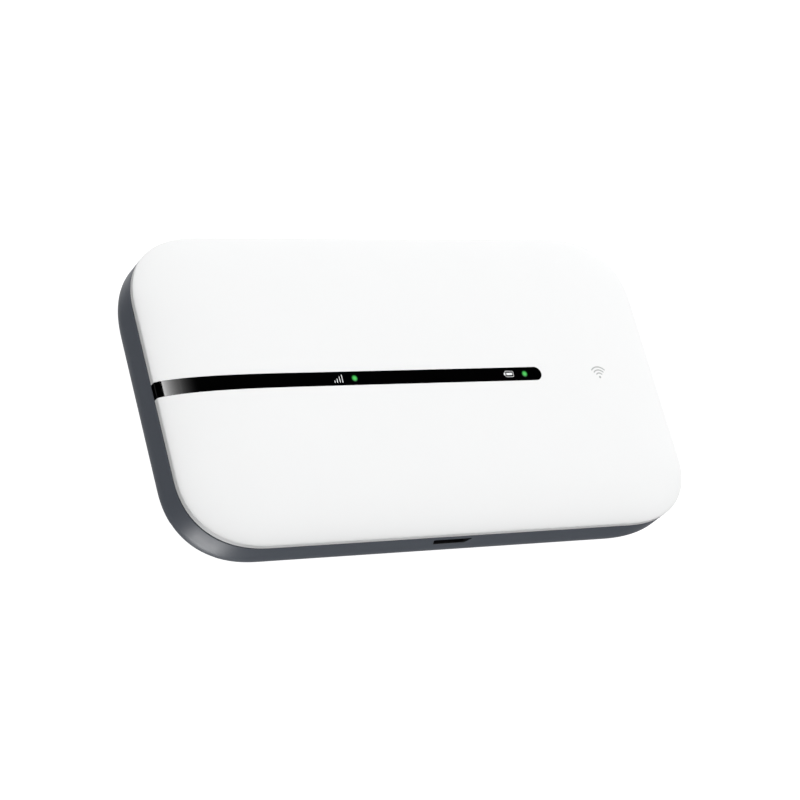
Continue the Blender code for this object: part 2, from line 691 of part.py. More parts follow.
def make_sim_socket(parts, cutters):
    """A bent metal cover, open at both Y ends, around a contact base."""
    shell = box(
        "sim_socket_shell", (SIM_X[0], SIM_Y[0], SIM_SHELL_Z[0]), (SIM_X[1], SIM_Y[1], SIM_SHELL_Z[1]),
        parts)
    cut_window(
        shell, "sim_socket_room", (SIM_X[0] + SIM_SHEET, SIM_Y[0] - 1 * MM, SIM_SHELL_Z[0] + SIM_SHEET),
        (SIM_X[1] - SIM_SHEET, SIM_Y[1] + 1 * MM, SIM_SHELL_Z[1] + 1 * MM), cutters)
    inner = SIM_SHEET + FIT_GAP
    base = box(
        "sim_contact_base", (SIM_X[0] + inner, SIM_Y[0] + 0.3 * MM, 6.15 * MM),
        (SIM_X[1] - inner, SIM_Y[1] - 0.3 * MM, SIM_SHELL_Z[1]), parts)
    return [finish_with(shell, *STEEL), finish_with(base, *PORT_BLACK)]


def make_battery_contacts(parts):
    """A block at the bay's -X end with three bent gold springs that meet the battery."""
    block = box(
        "battery_contact_block", (-42.4 * MM, -4.4 * MM, 3.1 * MM), (-39.6 * MM, 7.4 * MM, 6.7 * MM),
        parts, bevel=0.15 * MM)
    made = [finish_with(block, *PORT_BLACK)]
    spring_path = ((-39.35, 5.3), (-38.75, 5.1), (-38.5, 4.6), (-38.5, 4.0), (-38.8, 3.5))
    for number, y in enumerate((-2.0 * MM, 1.5 * MM, 5.0 * MM), 1):
        path = [(x * MM, y - 0.5 * MM, z * MM) for x, z in spring_path]
        spring = ribbon(
            f"battery_contact_spring_{number}", path, (0.0, 1.0 * MM, 0.0), 0.15 * MM, parts)
        made.append(finish_with(spring, *GOLD_PLATE))
    return made


# ---------------------------------------------------------------- antennas

def edge_path(first, last, inset, z):
    """Part of the body's outline, counted in corner steps anticlockwise from +X."""
    points = wall_ring(inset, z)
    count = len(points)
    return [points[i % count] for i in range(first, last + 1)]


def make_antennas(parts):
    """Three printed antennas stand inside the chassis, each met by a spring on the board."""
    turn = CORNER_STEPS + 1
    runs = (
        ("main_antenna", turn + 4, 3 * turn - 5),
        ("diversity_antenna", 5, turn + 1),
        ("wifi_antenna", 3 * turn + 4, 4 * turn - 4),
    )
    made = []
    for name, first, last in runs:
        path = edge_path(first, last, CHASSIS_INSET + CHASSIS_WALL + 0.35 * MM, 8.1 * MM)
        sheet = ribbon(name, path, (0.0, 0.0, 1.9 * MM), 0.15 * MM, parts)
        made.append(smooth(finish_with(sheet, *COPPER_FOIL)))
    springs = (
        ("main_antenna_spring", (-45.2 * MM, 4.0 * MM)),
        ("diversity_antenna_spring", (24.0 * MM, 23.5 * MM)),
        ("wifi_antenna_spring", (40.0 * MM, -18.0 * MM)),
    )
    bend = ((0.8, 8.0), (-0.6, 8.0), (-0.9, 8.4), (-0.6, 8.8), (0.9, 9.3))
    for name, (x, y) in springs:
        path = [(x + dx * MM, y - 0.5 * MM, z * MM) for dx, z in bend]
        made.append(finish_with(ribbon(name, path, (0.0, 1.0 * MM, 0.0), 0.12 * MM, parts), *GOLD_PLATE))
    return made


# ---------------------------------------------------------------- battery and screws

def make_battery(parts):
    low, high = battery_box(0.0)
    label_top = BATTERY_Z[0] + LABEL_THICKNESS
    cell_low = (low[0] + BATTERY_CAP_LENGTH + SNUG_GAP, low[1], label_top + SNUG_GAP)
    cell = box("battery_cell", cell_low, (*high, BATTERY_Z[1]), parts, bevel=0.9 * MM, segments=3)
    cap = box(
        "battery_end_cap", (low[0], low[1], label_top + SNUG_GAP),
        (low[0] + BATTERY_CAP_LENGTH, high[1], BATTERY_Z[1]), parts, bevel=0.5 * MM, segments=2)
    label = box(
        "battery_label", (cell_low[0] + 1 * MM, low[1] + 1.5 * MM, BATTERY_Z[0]),
        (high[0] - 1.5 * MM, high[1] - 1.5 * MM, label_top), parts)
    return [
        finish_with(cell, *BATTERY_GREY), finish_with(cap, *DARK_PLASTIC),
        finish_with(label, *LABEL_WHITE)]


def make_screw(parts, cutters, number, place):
    """A small pan-head screw, head down, with a cross recess."""
    bottom, top = SCREW_HEAD_Z
    edge = 0.2 * MM
    profile = (
        (0.0, SCREW_TIP_Z), (SCREW_SHANK_RADIUS - edge, SCREW_TIP_Z),
        (SCREW_SHANK_RADIUS, SCREW_TIP_Z - edge), (SCREW_SHANK_RADIUS, top),
        (SCREW_HEAD_RADIUS, top), (SCREW_HEAD_RADIUS, bottom + edge),
        (SCREW_HEAD_RADIUS - edge, bottom), (0.0, bottom))
    screw = turned(f"case_screw_{number}", profile, parts, steps=16)
    screw.location = (*place, 0.0)
    x, y = place
    for direction, size in (("x", (1.5, 0.35)), ("y", (0.35, 1.5))):
        slot = centred_box(
            f"screw_{number}_slot_{direction}", (x, y, bottom), (size[0] * MM, size[1] * MM, 0.7 * MM),
            cutters)
        cut(screw, slot)
    return smooth(finish_with(screw, *STEEL))


# ---------------------------------------------------------------- assembly

def hang_on(pieces, name, place, group):
    """Parents pieces to an empty on their slide's axis, leaving them where they are."""
    frame = bpy.data.objects.new(name, None)
    frame.location = place
    frame.empty_display_size = 5 * MM
    group.objects.link(frame)
    for piece in pieces:
        piece.parent = frame
        piece.matrix_parent_inverse = Matrix.Translation(place).inverted()
    return frame


def build():
    clear_scene()
    parts = new_collection("mobile_hotspot")
    cutters = new_collection("cutters")
    make_back_cover(parts, cutters)
    unit = [
        make_front_cover(parts, cutters),
        make_indicator_strip(parts, cutters),
        make_chassis(parts, cutters),
        make_main_board(parts, cutters),
        make_power_switch(parts),
        make_reset_switch(parts),
    ]
    unit += make_light(parts, "signal", SIGNAL_LIGHT_X)
    unit += make_light(parts, "battery", BATTERY_LIGHT_X)
    unit += make_electronics(parts, cutters)
    unit += make_charging_port(parts, cutters)
    unit += make_sim_socket(parts, cutters)
    unit += make_battery_contacts(parts)
    unit += make_antennas(parts)
    unit += [make_screw(parts, cutters, i, place) for i, place in enumerate(SCREW_PLACES, 1)]
    buttons = [make_power_button(parts, cutters), make_reset_button(parts)]
    battery = make_battery(parts)
    unit_frame = hang_on(unit + buttons, "main_unit_lift", (0.0, 0.0, 0.0), parts)
    battery_frame = hang_on(battery, "battery_drop", (*BATTERY_CENTRE, BATTERY_Z[0]), parts)
    battery_frame.parent = unit_frame


build()
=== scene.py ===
import json
import random
from math import atan2, copysign, cos, pi, radians, sin

import bmesh
import bpy
from mathutils import Matrix, Vector


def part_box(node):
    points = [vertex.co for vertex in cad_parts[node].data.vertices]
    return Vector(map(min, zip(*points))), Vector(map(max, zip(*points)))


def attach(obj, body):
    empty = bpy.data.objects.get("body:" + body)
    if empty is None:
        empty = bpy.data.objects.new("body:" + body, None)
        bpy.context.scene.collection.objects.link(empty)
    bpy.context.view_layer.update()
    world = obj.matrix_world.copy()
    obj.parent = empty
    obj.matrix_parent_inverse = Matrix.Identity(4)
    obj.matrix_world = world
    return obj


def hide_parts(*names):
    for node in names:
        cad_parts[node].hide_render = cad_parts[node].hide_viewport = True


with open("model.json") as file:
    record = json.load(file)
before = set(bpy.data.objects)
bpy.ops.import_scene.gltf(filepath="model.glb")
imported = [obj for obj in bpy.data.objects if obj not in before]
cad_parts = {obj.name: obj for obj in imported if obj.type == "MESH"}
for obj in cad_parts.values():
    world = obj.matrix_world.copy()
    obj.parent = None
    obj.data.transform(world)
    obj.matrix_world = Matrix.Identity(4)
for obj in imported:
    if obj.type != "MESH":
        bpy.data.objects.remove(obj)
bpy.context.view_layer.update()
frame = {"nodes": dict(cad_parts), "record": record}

MM = 0.001
random.seed(7)

# Body sizes, from the frame
shell_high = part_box("back_cover")[1]
strip_low, strip_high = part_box("indicator_strip")
HALF_LENGTH = shell_high[0]
HALF_WIDTH = shell_high[1]
RIM_Z = shell_high[2]
COVER_BOTTOM_Z = strip_low[2]
TOP_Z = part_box("front_cover")[1][2]

# Body outline and profiles
CORNER_REACH_X = 14.8 * MM
CORNER_REACH_Y = 13.0 * MM
CORNER_POWER = 2.35
CORNER_STEPS = 36
BACK_WALL = 1.1 * MM
SWEEP_IN = 3.4 * MM
SWEEP_UP = 5.7 * MM
BACK_CORNER_GROWTH = 2.0 * MM
BACK_CORNER_POWER = 2.2
BAND_TOP_Z = 10.7 * MM
CROWN_FLATNESS = 3.3
CROWN_SHOULDER = 0.7
CROWN_CORNER_LOSS = 0.3
CROWN_STEPS = 44
CROWN_END = 0.985
COVER_WALL = 1.5 * MM
CAVITY_CROWN = 1.0 * MM
EDGE_ROUND = 0.14 * MM
PRY_DEPTH = 0.32 * MM

# Strip
STRIP_HALF = 1.25 * MM
STRIP_END_X = strip_high[0]
STRIP_FLARE = 0.12 * MM
STRIP_FLARE_X = -10.0 * MM
STRIP_DEPTH = 0.6 * MM
STRIP_SEAM = 0.04 * MM
SIGNAL_X = -14.06 * MM
BATTERY_X = 20.3 * MM

# Openings, hooks and bosses
PORT_Z = (6.6 * MM, 8.5 * MM)
PORT_TOP = 7.8 * MM
PORT_BOTTOM = 6.2 * MM
HOOK_Z = (8.6 * MM, 9.4 * MM)
HOOK_X = 26.0 * MM
HOOK_Y = 11.0 * MM
HOOK_HALF_WIDTH = 1.5 * MM
HOOK_REACH = 2.1 * MM
HOOK_RAMP = 0.45 * MM
BOSS_TOP_Z = 11.6 * MM
BOSS_RADIUS = 1.4 * MM
PILOT_RADIUS = 1.0 * MM
PILOT_TOP_Z = 10.5 * MM

# Power button
KEY_MIDDLE_Z = 8.2 * MM
KEY_HALF = (4.5 * MM, 1.3 * MM)
KEY_GAP = 0.12 * MM
FLANGE_TOP_Z = 9.6 * MM
STEM_Z = (8.1 * MM, 9.3 * MM)

# Camera: azimuth, elevation and roll in degrees, and the point it looks at in millimetres
CAMERA_LENS = 119.17
CAMERA_ANGLES = (-55.555, 50.837, 46.685)
CAMERA_TARGET = (-1.666, -1.049, 6.379)
CAMERA_DISTANCE = 455.27 * MM


# ---------------------------------------------------------------- mesh tools

def add_object(name, mesh):
    piece = bpy.data.objects.new(name, mesh)
    bpy.context.scene.collection.objects.link(piece)
    return piece


def from_bmesh(name, bm):
    bmesh.ops.recalc_face_normals(bm, faces=bm.faces[:])
    mesh = bpy.data.meshes.new(name)
    bm.to_mesh(mesh)
    bm.free()
    return add_object(name, mesh)


def loft(name, rings):
    """A closed solid through a stack of rings with equal numbers of points."""
    bm = bmesh.new()
    loops = [[bm.verts.new(point) for point in ring] for ring in rings]
    count = len(loops[0])
    for lower, upper in zip(loops, loops[1:]):
        for i in range(count):
            j = (i + 1) % count
            bm.faces.new((lower[i], lower[j], upper[j], upper[i]))
    bm.faces.new(loops[0])
    bm.faces.new(loops[-1])
    return from_bmesh(name, bm)


def add_prism(bm, points, sweep):
    """Adds a flat outline swept along a vector to a mesh under construction."""
    face = bm.faces.new([bm.verts.new(point) for point in points])
    swept = bmesh.ops.extrude_face_region(bm, geom=[face])
    moved = [item for item in swept["geom"] if isinstance(item, bmesh.types.BMVert)]
    bmesh.ops.translate(bm, vec=sweep, verts=moved)


def add_box(bm, low, high):
    size = [b - a for a, b in zip(low, high)]
    middle = Vector([(a + b) / 2 for a, b in zip(low, high)])
    bmesh.ops.create_cube(bm, size=1.0, matrix=Matrix.Translation(middle) @ Matrix.Diagonal((*size, 1.0)))


def add_cylinder(bm, place, radius, low_z, high_z, segments=32):
    centre = Vector((place[0], place[1], (low_z + high_z) / 2))
    bmesh.ops.create_cone(
        bm, cap_ends=True, segments=segments, radius1=radius, radius2=radius, depth=high_z - low_z,
        matrix=Matrix.Translation(centre))


def combine(piece, tool, operation="DIFFERENCE"):
    """Runs one exact Boolean and removes the tool."""
    step = piece.modifiers.new("boolean", "BOOLEAN")
    step.operation = operation
    step.solver = "EXACT"
    step.object = tool
    apply_modifiers(piece)
    bpy.data.objects.remove(tool, do_unlink=True)
    return piece


def apply_modifiers(piece):
    graph = bpy.context.evaluated_depsgraph_get()
    mesh = bpy.data.meshes.new_from_object(piece.evaluated_get(graph), depsgraph=graph)
    piece.modifiers.clear()
    piece.data = mesh
    return piece


def shade(piece, angle=28):
    piece.data.shade_smooth()
    piece.data.set_sharp_from_angle(angle=radians(angle))
    return piece


def round_edges(piece, width, segments=3, angle=35):
    """Rounds the sharper edges of a piece, leaving its own mesh as it is."""
    edges = piece.modifiers.new("rounded_edges", "BEVEL")
    edges.width = width
    edges.segments = segments
    edges.limit_method = "ANGLE"
    edges.angle_limit = radians(angle)
    edges.harden_normals = True
    return piece


def place(piece, body, slot, material):
    piece.data.materials.clear()
    piece.data.materials.append(material)
    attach(piece, body)
    return piece


# ---------------------------------------------------------------- body shape

def outline(half_x, half_y, reach_x, reach_y, power, steps=CORNER_STEPS):
    """Points of a rectangle with superellipse corners, anticlockwise from the +X side."""
    points = []
    signs = ((1, 1), (-1, 1), (-1, -1), (1, -1))
    for quarter, (sign_x, sign_y) in enumerate(signs):
        for step in range(steps + 1):
            angle = (quarter + step / steps) * pi / 2
            bulge_x = copysign(abs(cos(angle)) ** (2 / power), sign_x)
            bulge_y = copysign(abs(sin(angle)) ** (2 / power), sign_y)
            points.append((
                sign_x * (half_x - reach_x) + reach_x * bulge_x,
                sign_y * (half_y - reach_y) + reach_y * bulge_y))
    return points


def ring(inset, z, corner_loss, power=CORNER_POWER):
    """A level ring inside the body's outline, with its corners shortened by corner_loss."""
    half_y = HALF_WIDTH - inset
    reach_y = min(CORNER_REACH_Y - corner_loss, half_y)
    flat = outline(HALF_LENGTH - inset, half_y, CORNER_REACH_X - corner_loss, reach_y, power)
    return [(x, y, z) for x, y in flat]


def wall_ring(inset, z):
    return ring(inset, z, inset)


def sweep_ring(wall, angle):
    """One ring of the back's elliptical sweep, from the wall at 0 to the flat back at a right angle."""
    sweep = 1 - cos(angle)
    z = SWEEP_UP - (SWEEP_UP - wall) * sin(angle)
    power = CORNER_POWER + (BACK_CORNER_POWER - CORNER_POWER) * sweep
    return ring(wall + (SWEEP_IN - wall) * sweep, z, wall - BACK_CORNER_GROWTH * sweep, power)


def tub_rings(wall, top_z, steps=26, rounded=False):
    rings = [sweep_ring(wall, pi / 2 * (1 - step / steps)) for step in range(steps + 1)]
    if rounded:
        for step in range(5):
            angle = pi / 2 * step / 4
            rings.append(wall_ring(
                wall + EDGE_ROUND * (1 - cos(angle)), top_z - EDGE_ROUND * (1 - sin(angle))))
    else:
        rings.append(wall_ring(wall, top_z))
    return rings


def crown_height(share, crown):
    return BAND_TOP_Z + crown * (1 - (1 - share) ** CROWN_FLATNESS) ** CROWN_SHOULDER


def crown_rings(side, crown, bottom_z, steps=CROWN_STEPS, rounded=False):
    rings = []
    if rounded:
        for step in range(5):
            angle = pi / 2 * step / 4
            rings.append(wall_ring(
                side + EDGE_ROUND * (1 - sin(angle)), bottom_z + EDGE_ROUND * (1 - cos(angle))))
    else:
        rings.append(wall_ring(side, bottom_z))
    for step in range(steps + 1):
        share = CROWN_END * (step / steps) ** 2
        reach_in = share * (HALF_WIDTH - side)
        corner_loss = side + CROWN_CORNER_LOSS * reach_in
        rings.append(ring(side + reach_in, crown_height(share, crown), corner_loss))
    return rings


FULL_CROWN = TOP_Z - BAND_TOP_Z


def surface_z(x):
    """Height of the front face on its long middle line."""
    inset = min(HALF_LENGTH - abs(x), CROWN_END * HALF_WIDTH)
    return crown_height(inset / HALF_WIDTH, FULL_CROWN)


# ---------------------------------------------------------------- node materials

def new_material(name):
    material = bpy.data.materials.new(name)
    material.use_nodes = True
    tree = material.node_tree
    return material, tree, tree.nodes["Principled BSDF"]


def noise(tree, where, scale, detail=3.0, roughness=0.5):
    made = tree.nodes.new("ShaderNodeTexNoise")
    made.inputs["Scale"].default_value = scale
    made.inputs["Detail"].default_value = detail
    made.inputs["Roughness"].default_value = roughness
    tree.links.new(where, made.inputs["Vector"])
    return made.outputs["Fac"]


def spread(tree, value, low, high, start=0.3, stop=0.7):
    """Maps a value between start and stop onto the range from low to high."""
    made = tree.nodes.new("ShaderNodeMapRange")
    made.inputs["From Min"].default_value = start
    made.inputs["From Max"].default_value = stop
    made.inputs["To Min"].default_value = low
    made.inputs["To Max"].default_value = high
    tree.links.new(value, made.inputs["Value"])
    return made.outputs["Result"]


def blend_colours(tree, value, first, second):
    made = tree.nodes.new("ShaderNodeMix")
    made.data_type = "RGBA"
    made.inputs["A"].default_value = (*first, 1.0)
    made.inputs["B"].default_value = (*second, 1.0)
    tree.links.new(value, made.inputs["Factor"])
    return made.outputs["Result"]


def object_space(tree, stretch=(1.0, 1.0, 1.0)):
    where = tree.nodes.new("ShaderNodeTexCoord").outputs["Object"]
    if stretch == (1.0, 1.0, 1.0):
        return where
    mapping = tree.nodes.new("ShaderNodeMapping")
    mapping.inputs["Scale"].default_value = stretch
    tree.links.new(where, mapping.inputs["Vector"])
    return mapping.outputs["Vector"]


def bump(tree, shader, height, distance):
    made = tree.nodes.new("ShaderNodeBump")
    made.inputs["Distance"].default_value = distance
    tree.links.new(height, made.inputs["Height"])
    tree.links.new(made.outputs["Normal"], shader.inputs["Normal"])


def moulded(name, colour, change=0.06, rough=(0.35, 0.45), grain=9000.0, depth=0.002 * MM,
            stretch=(1.0, 1.0, 1.0), metallic=0.0, specular=0.5):
    """A moulded, plated or cast surface: slow colour drift, uneven gloss and a fine grain."""
    material, tree, shader = new_material(name)
    where = object_space(tree, stretch)
    drift = noise(tree, where, 90.0, 4.0)
    darker = tuple(c * (1 - change) for c in colour)
    lighter = tuple(min(1.0, c * (1 + change)) for c in colour)
    tree.links.new(blend_colours(tree, drift, darker, lighter), shader.inputs["Base Color"])
    tree.links.new(spread(tree, noise(tree, where, 600.0, 5.0), *rough), shader.inputs["Roughness"])
    bump(tree, shader, noise(tree, where, grain, 2.0), depth)
    shader.inputs["Metallic"].default_value = metallic
    shader.inputs["Specular IOR Level"].default_value = specular
    return material


def board_material():
    """Green solder mask over copper traces, with bare gold pads."""
    material, tree, shader = new_material("circuit_board")
    where = object_space(tree)
    cells = tree.nodes.new("ShaderNodeTexVoronoi")
    cells.feature = "DISTANCE_TO_EDGE"
    cells.inputs["Scale"].default_value = 420.0
    tree.links.new(where, cells.inputs["Vector"])
    trace = spread(tree, cells.outputs["Distance"], 1.0, 0.0, 0.03, 0.06)
    mask = blend_colours(tree, trace, (0.008, 0.07, 0.03), (0.02, 0.16, 0.06))
    dots = tree.nodes.new("ShaderNodeTexVoronoi")
    dots.inputs["Scale"].default_value = 700.0
    dots.inputs["Randomness"].default_value = 0.55
    tree.links.new(where, dots.inputs["Vector"])
    via = spread(tree, dots.outputs["Distance"], 1.0, 0.0, 0.16, 0.2)
    mix = tree.nodes.new("ShaderNodeMix")
    mix.data_type = "RGBA"
    mix.inputs["B"].default_value = (0.8, 0.58, 0.25, 1.0)
    tree.links.new(via, mix.inputs["Factor"])
    tree.links.new(mask, mix.inputs["A"])
    tree.links.new(mix.outputs["Result"], shader.inputs["Base Color"])
    tree.links.new(via, shader.inputs["Metallic"])
    tree.links.new(spread(tree, noise(tree, where, 500.0), 0.28, 0.4), shader.inputs["Roughness"])
    bump(tree, shader, trace, 0.02 * MM)
    return material


def glow_material(name, place_x, core, edge):
    """A lit window: bright in the middle and darker towards its rim."""
    material, tree, shader = new_material(name)
    where = tree.nodes.new("ShaderNodeTexCoord").outputs["Object"]
    offset = tree.nodes.new("ShaderNodeVectorMath")
    offset.operation = "SUBTRACT"
    offset.inputs[1].default_value = (place_x, 0.0, surface_z(place_x))
    tree.links.new(where, offset.inputs[0])
    length = tree.nodes.new("ShaderNodeVectorMath")
    length.operation = "LENGTH"
    tree.links.new(offset.outputs["Vector"], length.inputs[0])
    falloff = spread(tree, length.outputs["Value"], 1.0, 0.0, 0.22 * MM, 0.6 * MM)
    tree.links.new(blend_colours(tree, falloff, edge, core), shader.inputs["Emission Color"])
    tinted = noise(tree, where, 3000.0)
    unlit = blend_colours(tree, tinted, (0.0, 0.01, 0.002), (0.0, 0.02, 0.004))
    tree.links.new(unlit, shader.inputs["Base Color"])
    shader.inputs["Emission Strength"].default_value = 1.0
    shader.inputs["Roughness"].default_value = 0.15
    return material


MATERIALS = {
    "white_cover": moulded(
        "white_cover", (0.86, 0.865, 0.865), 0.008, (0.55, 0.6), 12000.0, 0.0008 * MM, specular=0.25),
    "grey_shell": moulded(
        "grey_shell", (0.138, 0.153, 0.182), 0.04, (0.4, 0.44), 11000.0, 0.0016 * MM),
    "black_strip": moulded(
        "black_strip", (0.0004, 0.0004, 0.0005), 0.3, (0.05, 0.08), 2000.0, 0.0001 * MM, specular=0.3),
    "light_guide": moulded("light_guide", (0.75, 0.85, 0.78), 0.03, (0.2, 0.3)),
    "led_package": moulded("led_package", (0.8, 0.8, 0.62), 0.04, (0.25, 0.4)),
    "chassis_plastic": moulded(
        "chassis_plastic", (0.03, 0.031, 0.034), 0.12, (0.5, 0.62), 7000.0, 0.006 * MM),
    "circuit_board": board_material(),
    "chip_package": moulded("chip_package", (0.028, 0.028, 0.03), 0.12, (0.45, 0.6), 8000.0, 0.004 * MM),
    "tinned_shield": moulded(
        "tinned_shield", (0.66, 0.66, 0.64), 0.05, (0.25, 0.42), 1500.0, 0.004 * MM, (1.0, 14.0, 1.0), 1.0),
    "steel_parts": moulded(
        "steel_parts", (0.58, 0.58, 0.59), 0.05, (0.22, 0.36), 3000.0, 0.003 * MM, metallic=1.0),
    "gold_contacts": moulded(
        "gold_contacts", (0.88, 0.64, 0.28), 0.05, (0.18, 0.32), 3000.0, 0.002 * MM, metallic=1.0),
    "antenna_copper": moulded(
        "antenna_copper", (0.7, 0.36, 0.2), 0.1, (0.28, 0.45), 2500.0, 0.003 * MM, metallic=1.0),
    "connector_plastic": moulded("connector_plastic", (0.013, 0.013, 0.014), 0.15, (0.4, 0.55)),
    "battery_wrap": moulded("battery_wrap", (0.12, 0.125, 0.135), 0.08, (0.3, 0.45), 2500.0, 0.004 * MM),
    "battery_cap": moulded("battery_cap", (0.025, 0.026, 0.028), 0.1, (0.4, 0.55)),
    "blank_label": moulded("blank_label", (0.72, 0.73, 0.74), 0.03, (0.35, 0.5), 5000.0, 0.003 * MM),
    "thermal_pad": moulded("thermal_pad", (0.35, 0.46, 0.58), 0.08, (0.7, 0.85), 3500.0, 0.02 * MM),
}


# ---------------------------------------------------------------- front cover and strip

def strip_outline(half_width, z):
    """The strip from above: flared towards the open -X edge, with a half circle at +X."""
    side = []
    for step in range(17):
        share = step / 16
        x = STRIP_FLARE_X - share * (STRIP_FLARE_X + HALF_LENGTH + MM)
        side.append((x, half_width + STRIP_FLARE * share ** 2))
    points = [(x, -half, z) for x, half in reversed(side)]
    centre_x = STRIP_END_X - STRIP_HALF
    steps = 32
    for step in range(steps + 1):
        angle = -pi / 2 + pi * step / steps
        points.append((centre_x + half_width * cos(angle), half_width * sin(angle), z))
    return points + [(x, half, z) for x, half in side]


def strip_prism(name, half_width):
    bm = bmesh.new()
    add_prism(bm, strip_outline(half_width, COVER_BOTTOM_Z - 2 * MM), (0, 0, TOP_Z))
    return from_bmesh(name, bm)


def sunk_crown(name, depth, steps=20):
    return loft(name, crown_rings(depth, FULL_CROWN - depth, COVER_BOTTOM_Z - 3 * MM, steps))


SCREWS = [
    ((low[0] + high[0]) / 2, (low[1] + high[1]) / 2)
    for low, high in (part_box(f"case_screw_{number}") for number in range(1, 7))]


def make_front_cover():
    cover = loft("front_cover_shell", crown_rings(0.0, FULL_CROWN, COVER_BOTTOM_Z, rounded=True))
    combine(cover, loft("inside", crown_rings(COVER_WALL, CAVITY_CROWN, COVER_BOTTOM_Z - MM, 16)))
    bed = sunk_crown("bed", STRIP_DEPTH + 0.1 * MM)
    groove = combine(strip_prism("groove", STRIP_HALF + STRIP_SEAM), bed)
    combine(cover, groove)
    bosses = bmesh.new()
    pilots = bmesh.new()
    board_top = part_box("main_board")[1][2]
    for spot in SCREWS:
        add_cylinder(bosses, spot, BOSS_RADIUS, board_top + 0.3 * MM, BOSS_TOP_Z)
        add_cylinder(pilots, spot, PILOT_RADIUS, board_top - MM, PILOT_TOP_Z)
    for guide in ("signal_light_guide", "battery_light_guide"):
        low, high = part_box(guide)
        middle_x = (low[0] + high[0]) / 2
        add_cylinder(pilots, (middle_x, 0.0), PILOT_RADIUS, COVER_BOTTOM_Z, 1.02 * TOP_Z)
    combine(cover, from_bmesh("bosses", bosses), "UNION")
    combine(cover, from_bmesh("pilots", pilots))
    shade(cover)
    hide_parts("front_cover")
    return place(cover, "main_unit", "white_cover", MATERIALS["white_cover"])


def make_strip():
    strip = loft("indicator_strip_inlay", crown_rings(0.0, FULL_CROWN, COVER_BOTTOM_Z, rounded=True))
    combine(strip, strip_prism("blank", STRIP_HALF), "INTERSECT")
    combine(strip, sunk_crown("under", STRIP_DEPTH))
    shade(strip)
    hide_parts("indicator_strip")
    return place(strip, "main_unit", "black_strip", MATERIALS["black_strip"])


# ---------------------------------------------------------------- printed icons and lights

PRINT_PROUD = 0.012 * MM
PRINT_DEPTH = 0.05 * MM


def stroke(path, width, steps=6):
    """Outline of a pen stroke with round ends along a path of (x, y)."""
    half = width / 2
    points = [Vector(point) for point in path]
    left, right = [], []
    for i, point in enumerate(points):
        ahead = (points[min(i + 1, len(points) - 1)] - points[max(i - 1, 0)]).normalized()
        side = Vector((-ahead.y, ahead.x)) * half
        left.append(point + side)
        right.append(point - side)

    def cap(centre, start):
        turn = atan2(start.y, start.x)
        return [
            centre + half * Vector((cos(turn - pi * k / steps), sin(turn - pi * k / steps)))
            for k in range(1, steps)]

    end = cap(points[-1], left[-1] - points[-1])
    start = cap(points[0], right[0] - points[0])
    return left + end + right[::-1] + start


def print_shapes(name, shapes, material, slot="light_guide"):
    """Thin printed shapes that follow the front face's height along its middle line."""
    bm = bmesh.new()
    for shape in shapes:
        points = [(p[0], p[1], surface_z(p[0]) + PRINT_PROUD) for p in shape]
        add_prism(bm, points, (0, 0, -PRINT_DEPTH))
    return place(from_bmesh(name, bm), "main_unit", slot, material)


def print_band(name, outer, inner, material):
    """A closed printed line between two outlines with equal numbers of points."""
    bm = bmesh.new()
    loops = []
    for points, drop in ((outer, 0), (inner, 0), (inner, PRINT_DEPTH), (outer, PRINT_DEPTH)):
        loops.append([
            bm.verts.new((p[0], p[1], surface_z(p[0]) + PRINT_PROUD - drop)) for p in points])
    count = len(outer)
    for first, second in zip(loops, loops[1:] + loops[:1]):
        for i in range(count):
            j = (i + 1) % count
            bm.faces.new((first[i], first[j], second[j], second[i]))
    return place(from_bmesh(name, bm), "main_unit", "light_guide", material)


def rounded_box(centre, half_x, half_y, radius, steps=5):
    points = []
    for quarter, (sign_x, sign_y) in enumerate(((1, 1), (-1, 1), (-1, -1), (1, -1))):
        for step in range(steps + 1):
            angle = (quarter + step / steps) * pi / 2
            points.append((
                centre[0] + sign_x * (half_x - radius) + radius * cos(angle),
                centre[1] + sign_y * (half_y - radius) + radius * sin(angle)))
    return points


def make_icons():
    ink = moulded("icon_ink", (0.86, 0.88, 0.88), 0.04, (0.35, 0.45), 6000.0, 0.001 * MM)
    foot = -0.7 * MM
    pitch = 0.51 * MM
    first_x = SIGNAL_X - 3.95 * MM
    bars = []
    for i in range(4):
        x = first_x + i * pitch
        bars.append(stroke([(x, foot), (x, foot + (0.3 + 0.36 * i) * MM)], 0.13 * MM))
    print_shapes("signal_bars_icon", bars, ink)
    middle = (BATTERY_X - 3.2 * MM, 0.03 * MM)
    outer = rounded_box(middle, 0.88 * MM, 0.58 * MM, 0.3 * MM)
    inner = rounded_box(middle, 0.8 * MM, 0.5 * MM, 0.22 * MM)
    print_band("battery_outline_icon", outer, inner, ink)
    nub = stroke([(middle[0] - 1.02 * MM, -0.14 * MM), (middle[0] - 1.02 * MM, 0.2 * MM)], 0.2 * MM)
    fill = rounded_box(middle, 0.6 * MM, 0.22 * MM, 0.08 * MM)
    print_shapes("battery_fill_icon", [nub, fill], ink)
    for name, x in (("signal_light", SIGNAL_X), ("battery_light", BATTERY_X)):
        make_light_window(name, x)


